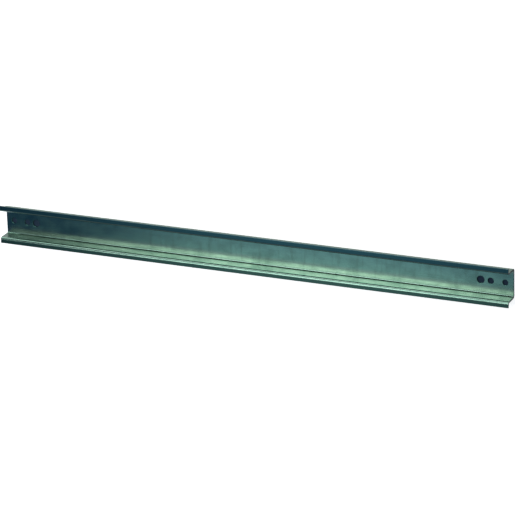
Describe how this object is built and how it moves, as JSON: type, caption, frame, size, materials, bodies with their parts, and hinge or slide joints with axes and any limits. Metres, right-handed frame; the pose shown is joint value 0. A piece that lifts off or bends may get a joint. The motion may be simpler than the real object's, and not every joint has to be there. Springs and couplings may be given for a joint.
{
  "type": "din rail",
  "caption": "Top-hat section mounting rail of zinc-plated steel, 35 mm wide and 15 mm deep, cut to length, with screw holes through its web near both ends.",
  "frame": {"origin": "on the back face of the web, halfway between the two cut ends and between the two lips", "axes": "+X along the rail, +Y across its width from lip to lip, +Z out of the back of the web towards the front of the lips; the rail lies on its back with the open side up"},
  "size_m": [0.48, 0.035, 0.015],
  "materials": {
    "zinc_steel": "bright zinc plate with a cool blue-green cast, semi-gloss, with fine rolling lines along the rail and faint smudges"
  },
  "bodies": {
    "root": {"rail": "zinc_steel"}
  },
  "joints": []
}
